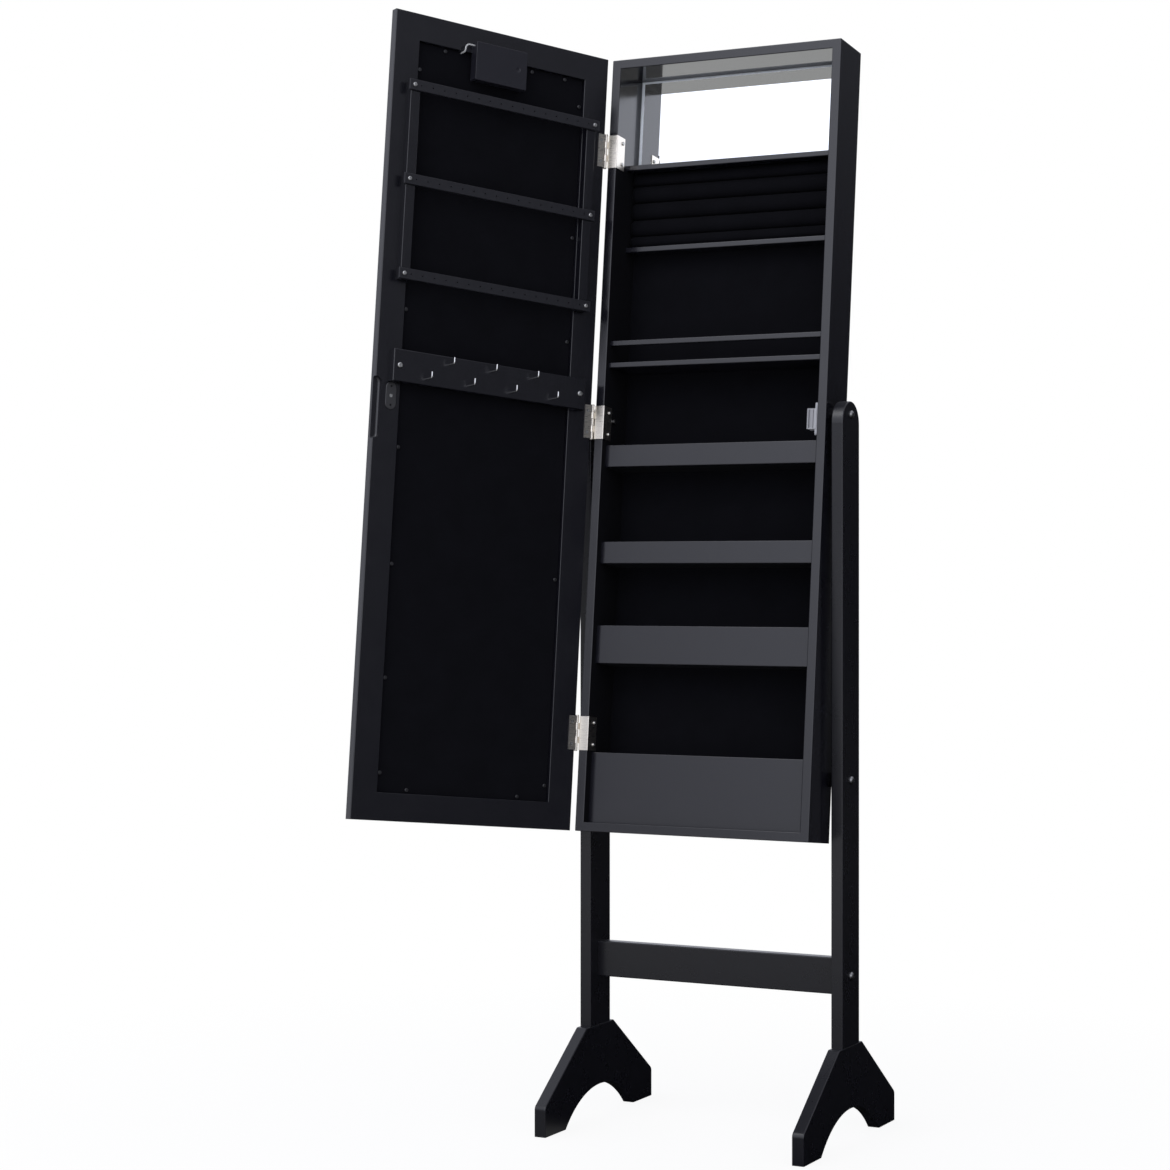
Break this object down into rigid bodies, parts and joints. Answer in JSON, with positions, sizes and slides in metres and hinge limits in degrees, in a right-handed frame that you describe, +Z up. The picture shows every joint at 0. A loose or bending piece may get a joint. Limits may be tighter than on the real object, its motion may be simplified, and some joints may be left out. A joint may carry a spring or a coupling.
{
  "type": "jewelry mirror cabinet",
  "caption": "Slim standing jewelry cabinet with a full-length mirror door, hung between the two posts of a floor stand so that it leans, with shelves, ring pad, earring bars and necklace hooks.",
  "frame": {"origin": "on the floor, below the middle of the whole object's bounding box at rest, with the door open as in the picture", "axes": "+X to the right as one faces the cabinet, +Y to its back, +Z up"},
  "size_m": [0.5222, 0.5332, 1.433],
  "materials": {
    "stand_paint": "satin black paint on board",
    "cabinet_paint": "satin black paint on board",
    "door_paint": "satin black paint on board",
    "velvet_board": "black flocked board",
    "velvet_pad": "black velvet over foam",
    "silvered_glass": "polished, bevelled",
    "steel": "zinc plated",
    "nickel": "bright nickel plate",
    "rubber": "matt",
    "black_plastic": "matt",
    "grey_plastic": "matt",
    "magnet": "ferrite and steel",
    "brass": "turned",
    "case_plastic": "satin black",
    "cell": "plain sleeve",
    "frosted": "frosted diffuser",
    "lead": "pale insulation"
  },
  "bodies": {
    "stand": {"post_left": "stand_paint", "post_right": "stand_paint", "foot_left": "stand_paint", "foot_right": "stand_paint", "stretcher": "stand_paint", "foot_bolts": "steel", "stretcher_bolts": "steel", "stop_bolts": "steel", "stop_bumpers": "rubber", "pivot_spacers": "black_plastic"},
    "cabinet": {"pivot_bolts": "steel", "pivot_inserts": "brass", "side_left": "cabinet_paint", "side_right": "cabinet_paint", "top_panel": "cabinet_paint", "bottom_panel": "cabinet_paint", "back_panel": "velvet_board", "inner_mirror": "silvered_glass", "mirror_shelf": "cabinet_paint", "ring_pad": "velvet_pad", "ring_board": "cabinet_paint", "guard_rail": "cabinet_paint", "bottle_shelf": "cabinet_paint", "upper_tray_shelf": "velvet_board", "upper_tray_front": "cabinet_paint", "middle_tray_shelf": "velvet_board", "middle_tray_front": "cabinet_paint", "lower_tray_shelf": "velvet_board", "lower_tray_front": "cabinet_paint", "bin_front": "cabinet_paint", "catch_body": "grey_plastic", "catch_magnet": "magnet", "hinge_cabinet_leaves": "nickel", "cabinet_screws": "steel", "hinge_pins": "nickel"},
    "door": {"hinge_door_leaves": "nickel", "hinge_door_screws": "steel", "hinge_stile": "door_paint", "pull_stile": "door_paint", "top_rail": "door_paint", "bottom_rail": "door_paint", "backing_panel": "velvet_board", "backing_screws": "steel", "door_mirror": "silvered_glass", "light_strip": "frosted", "batten_hinge_side": "door_paint", "batten_pull_side": "door_paint", "earring_bar_upper": "black_plastic", "earring_bar_middle": "black_plastic", "earring_bar_lower": "black_plastic", "necklace_rail": "door_paint", "necklace_hooks": "nickel", "rack_screws": "steel", "strike_plate": "steel", "strike_screw": "steel", "battery_case": "case_plastic", "battery_cells": "cell", "battery_contacts": "nickel", "light_lead": "lead"},
    "battery_cover": {"battery_cover": "case_plastic"}
  },
  "joints": [
    {"name": "tilt", "type": "hinge", "parent": "stand", "child": "cabinet", "pos_m": [0.07284, 0.1096, 0.919], "axis": [-1, 0, 0], "range_deg": [0, 15]},
    {"name": "door_hinge", "type": "hinge", "parent": "cabinet", "child": "door", "pos_m": [-0.09246, 0.07719, 0.92256], "axis": [0, 0.1092, 0.994], "range_deg": [-8, 119.1]},
    {"name": "cover_slide", "type": "slide", "parent": "door", "child": "battery_cover", "axis": [0.4863, 0.8685, -0.0954], "range_m": [0, 0.03]}
  ]
}
